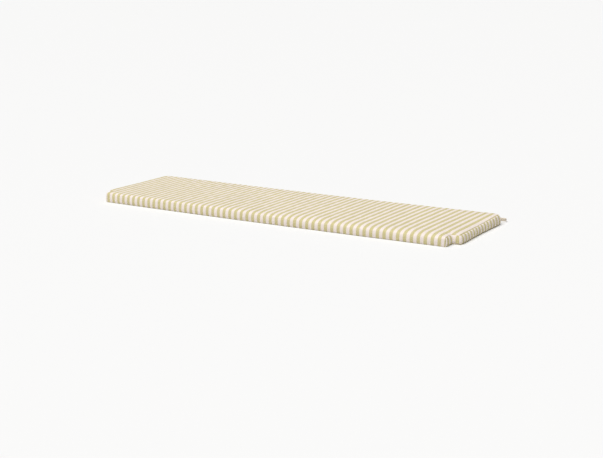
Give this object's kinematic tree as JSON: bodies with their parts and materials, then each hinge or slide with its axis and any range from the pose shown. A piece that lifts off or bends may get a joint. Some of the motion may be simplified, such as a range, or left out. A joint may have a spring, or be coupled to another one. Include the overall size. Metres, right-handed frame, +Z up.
{
  "type": "bench cushion",
  "caption": "Long, thin striped bench cushion with a flat top and softly rounded edges, cut-outs at the front corners and tape ties at the back corners.",
  "frame": {"origin": "on the flat underside, at the middle of the cushion's length and depth, with the ties left out", "axes": "+X along the length, to the right seen from the front; +Y towards the back, where the ties are; +Z up through the top"},
  "size_m": [1.5158, 0.4897, 0.039],
  "materials": {
    "striped_cloth": "woven white and lemon-yellow stripe, 25 mm repeat",
    "tie_tape": "plain woven tape"
  },
  "bodies": {
    "root": {"cushion": "striped_cloth", "tie_left": "tie_tape", "tie_right": "tie_tape"}
  },
  "joints": []
}
